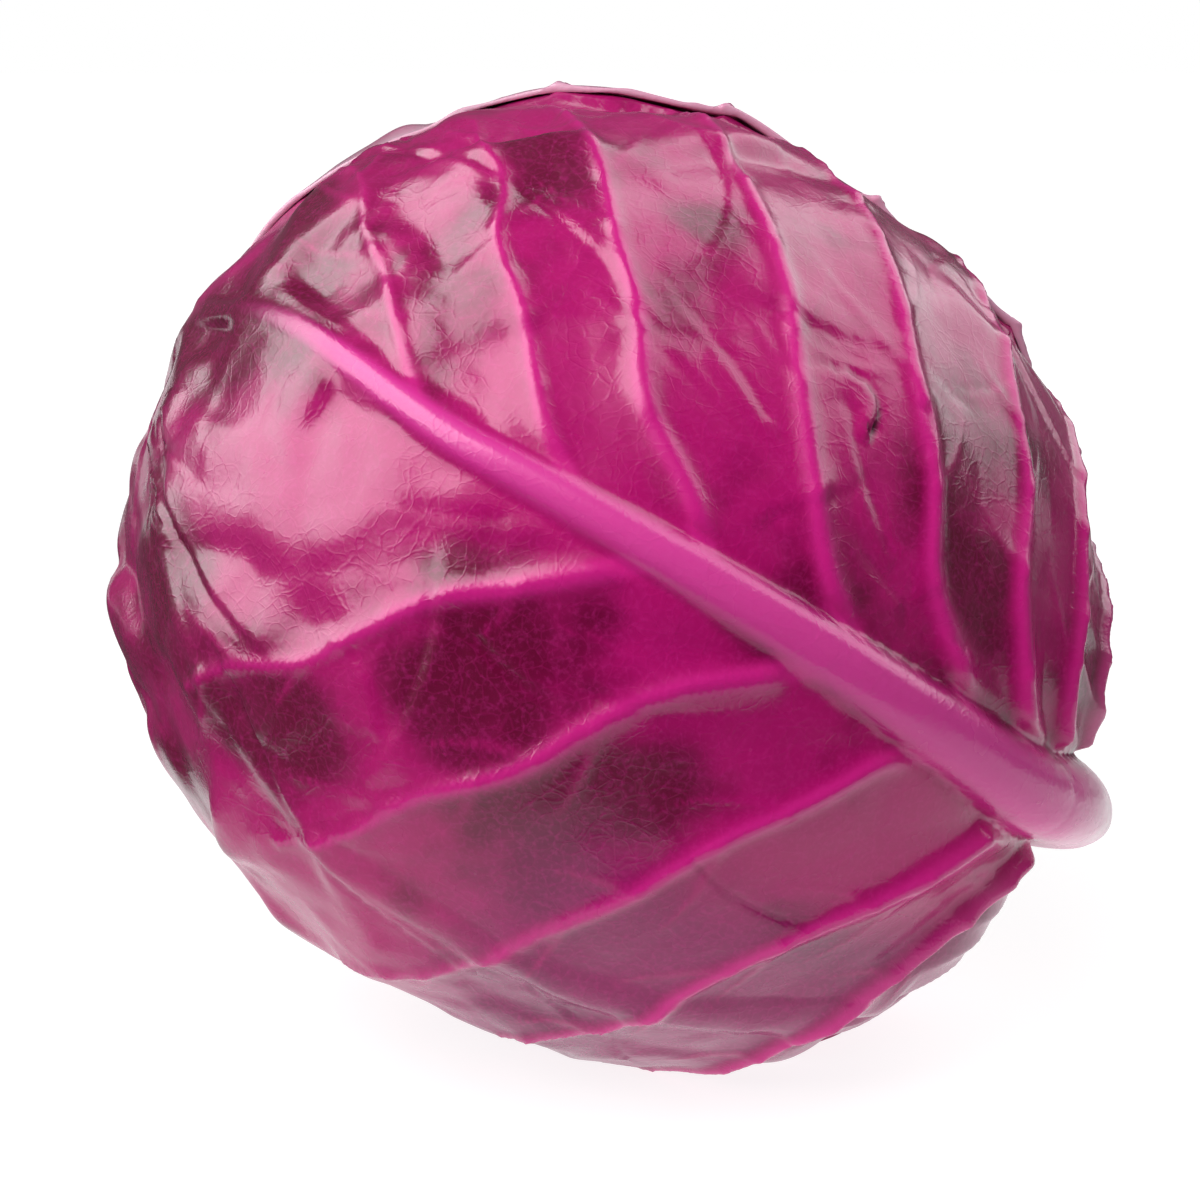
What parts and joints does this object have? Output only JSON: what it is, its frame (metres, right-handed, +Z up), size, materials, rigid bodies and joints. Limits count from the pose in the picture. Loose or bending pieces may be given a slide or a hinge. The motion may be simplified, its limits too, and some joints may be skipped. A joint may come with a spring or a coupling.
{
  "type": "cabbage head",
  "caption": "Round red cabbage head lying on its side on a small flat spot, with overlapping ribbed wrapper leaves folded around a tight heart and a short cut stem.",
  "frame": {"origin": "middle of the bottom of the head's box, on the surface it rests on", "axes": "+X towards the stem end (which points down to the right), -Y towards the front leaf, +Z up"},
  "size_m": [0.1576, 0.15, 0.1525],
  "materials": {
    "stem": "pale, moist cut stem, dull",
    "heart": "tightly folded purple leaf, satin",
    "leaf_1_back": "waxy purple-red leaf, glossy, magenta veins",
    "leaf_2_front": "waxy purple-red leaf, glossy, magenta midrib and veins",
    "leaf_3_under": "waxy purple-red leaf, glossy, magenta veins",
    "leaf_4_top": "waxy purple-red leaf, satin",
    "leaf_5_belly": "waxy purple-red leaf, satin",
    "leaf_6_crown": "waxy purple-red leaf, satin"
  },
  "bodies": {
    "root": {"stem": "stem", "heart": "heart", "leaf_1_back": "leaf_1_back", "leaf_2_front": "leaf_2_front", "leaf_3_under": "leaf_3_under", "leaf_4_top": "leaf_4_top", "leaf_5_belly": "leaf_5_belly", "leaf_6_crown": "leaf_6_crown"}
  },
  "joints": []
}
